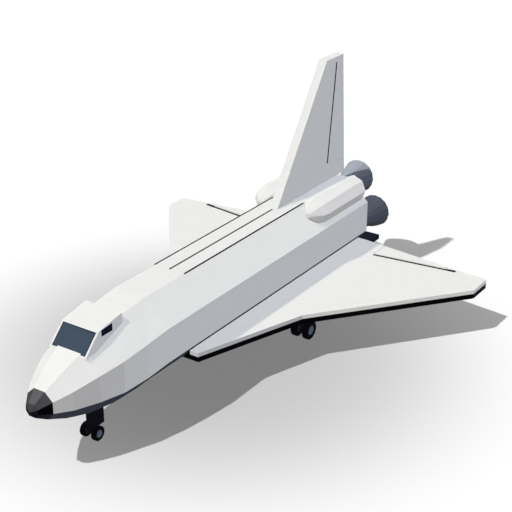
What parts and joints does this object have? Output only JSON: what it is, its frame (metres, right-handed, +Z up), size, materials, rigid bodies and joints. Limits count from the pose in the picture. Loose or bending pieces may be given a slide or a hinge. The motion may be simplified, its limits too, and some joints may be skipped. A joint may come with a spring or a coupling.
{
  "type": "space shuttle orbiter",
  "caption": "Winged reusable spacecraft with an octagonal hull, slab delta wings, a tall fin and open-mouthed main engines, parked on its wheels with payload doors that open.",
  "frame": {"origin": "middle of the bounding box's base, on the ground under the wheels", "axes": "+X to port, +Y aft with the nose at -Y, +Z up"},
  "size_m": [25.952, 35.75, 16.9],
  "materials": {
    "white_tile": "matt white heat-resistant tile and blanket",
    "black_tile": "matt black heat-resistant tile",
    "cap_grey": "dark grey moulded nose cap",
    "glass": "dark tinted glass",
    "rubber": "plain black rubber",
    "gear_metal": "dark painted metal",
    "hub_metal": "satin blue-grey metal",
    "bell_metal": "satin blue-grey metal"
  },
  "bodies": {
    "airframe": {"aft_bulkhead": "white_tile", "belly_aft": "black_tile", "belly_forward": "black_tile", "belly_middle": "black_tile", "canopy": "white_tile", "engine_bell_port": "bell_metal", "engine_bell_starboard": "bell_metal", "engine_bell_upper": "bell_metal", "engine_block": "gear_metal", "fin": "white_tile", "hinge_rod_port": "black_tile", "hinge_rod_starboard": "black_tile", "hull_aft": "white_tile", "hull_forward": "white_tile", "hull_middle": "white_tile", "main_strut_port": "gear_metal", "main_strut_starboard": "gear_metal", "nose_cap": "cap_grey", "nose_strut": "gear_metal", "pod_nozzle_port": "bell_metal", "pod_nozzle_starboard": "bell_metal", "pod_port": "white_tile", "pod_starboard": "white_tile", "side_window_port": "glass", "side_window_starboard": "glass", "windscreen": "glass", "wing_lower_port": "black_tile", "wing_lower_starboard": "black_tile", "wing_upper_port": "white_tile", "wing_upper_starboard": "white_tile"},
    "payload_door_port": {"payload_door_port": "white_tile"},
    "payload_door_starboard": {"payload_door_starboard": "white_tile"},
    "elevon_port": {"elevon_lower_port": "black_tile", "elevon_upper_port": "white_tile"},
    "elevon_starboard": {"elevon_lower_starboard": "black_tile", "elevon_upper_starboard": "white_tile"},
    "rudder": {"rudder": "white_tile"},
    "body_flap": {"body_flap": "black_tile"},
    "nose_steering": {"nose_steering_piece": "gear_metal"},
    "nose_wheels": {"nose_axle": "hub_metal", "nose_tyre_port": "rubber", "nose_tyre_starboard": "rubber"},
    "main_wheels_port": {"main_axle_port": "hub_metal", "main_tyre_port_inner": "rubber", "main_tyre_port_outer": "rubber"},
    "main_wheels_starboard": {"main_axle_starboard": "hub_metal", "main_tyre_starboard_inner": "rubber", "main_tyre_starboard_outer": "rubber"}
  },
  "joints": [
    {"name": "payload_door_port_hinge", "type": "hinge", "parent": "airframe", "child": "payload_door_port", "pos_m": [1.142, 0.49, 7.98], "axis": [0, 1, 0], "range_deg": [0, 175.5]},
    {"name": "payload_door_starboard_hinge", "type": "hinge", "parent": "airframe", "child": "payload_door_starboard", "pos_m": [-1.142, 0.49, 7.98], "axis": [0, -1, 0], "range_deg": [0, 175.5]},
    {"name": "elevon_port_hinge", "type": "hinge", "parent": "airframe", "child": "elevon_port", "pos_m": [7.25, 12.64886, 3.1354], "axis": [0.9927, 0.1209, 0], "range_deg": [-25, 40]},
    {"name": "elevon_starboard_hinge", "type": "hinge", "parent": "airframe", "child": "elevon_starboard", "pos_m": [-7.25, 12.64886, 3.1354], "axis": [0.9927, -0.1209, 0], "range_deg": [-25, 40]},
    {"name": "rudder_hinge", "type": "hinge", "parent": "airframe", "child": "rudder", "pos_m": [0, 13.225, 12.93], "axis": [0, 0.1307, 0.9914], "range_deg": [-27.1, 27.1]},
    {"name": "body_flap_hinge", "type": "hinge", "parent": "airframe", "child": "body_flap", "pos_m": [0, 14.415, 2.89], "axis": [1, 0, 0], "range_deg": [-22.5, 11.7]},
    {"name": "nose_steering_pivot", "type": "hinge", "parent": "airframe", "child": "nose_steering", "pos_m": [0, -12.965, 0.6], "axis": [0, 0, 1], "range_deg": [-10, 10]},
    {"name": "nose_wheels_spin", "type": "hinge", "parent": "nose_steering", "child": "nose_wheels", "pos_m": [0, -12.965, 0.465], "axis": [1, 0, 0], "continuous": true},
    {"name": "main_wheels_port_spin", "type": "hinge", "parent": "airframe", "child": "main_wheels_port", "pos_m": [3.64, 4.575, 0.665], "axis": [1, 0, 0], "continuous": true},
    {"name": "main_wheels_starboard_spin", "type": "hinge", "parent": "airframe", "child": "main_wheels_starboard", "pos_m": [-3.64, 4.575, 0.665], "axis": [1, 0, 0], "continuous": true}
  ]
}
